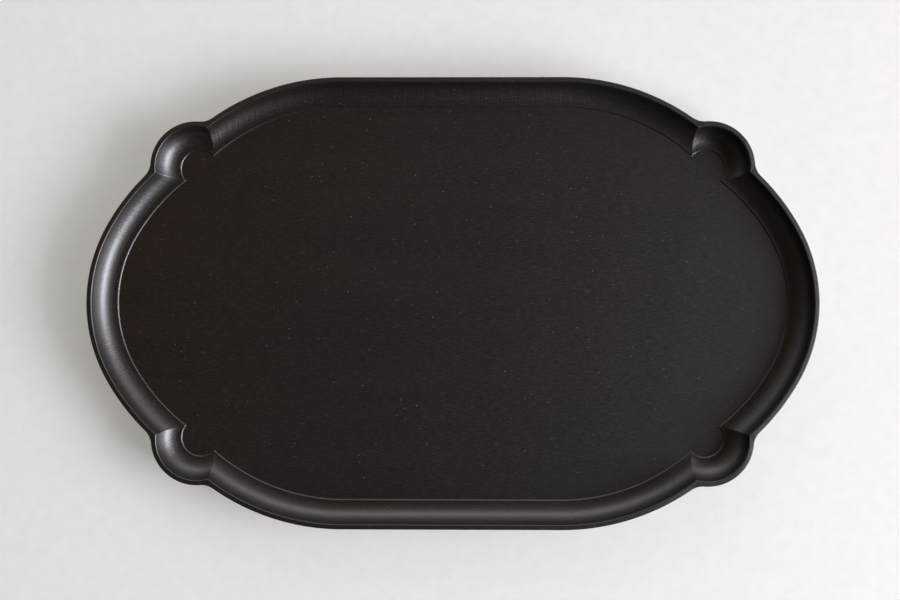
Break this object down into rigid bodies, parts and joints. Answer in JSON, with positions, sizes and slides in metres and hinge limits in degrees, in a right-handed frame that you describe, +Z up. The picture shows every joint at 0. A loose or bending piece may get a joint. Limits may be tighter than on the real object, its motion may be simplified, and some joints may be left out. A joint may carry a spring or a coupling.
{
  "type": "serving tray",
  "caption": "Long oval serving tray carved from dark stained wood, with a coved rim, round corner lobes, a sunk flat floor and small anti-slip pads under the lobes.",
  "frame": {"origin": "middle of the tray's plan, on the surface it stands on", "axes": "+X along the tray's length, +Y towards its back long side, +Z up out of the recess"},
  "size_m": [0.36, 0.2222, 0.018],
  "materials": {
    "stained_wood": "satin",
    "pad_rubber": "matte"
  },
  "bodies": {
    "root": {"tray_body": "stained_wood", "foot_pad_front_left": "pad_rubber", "foot_pad_front_right": "pad_rubber", "foot_pad_back_left": "pad_rubber", "foot_pad_back_right": "pad_rubber"}
  },
  "joints": []
}
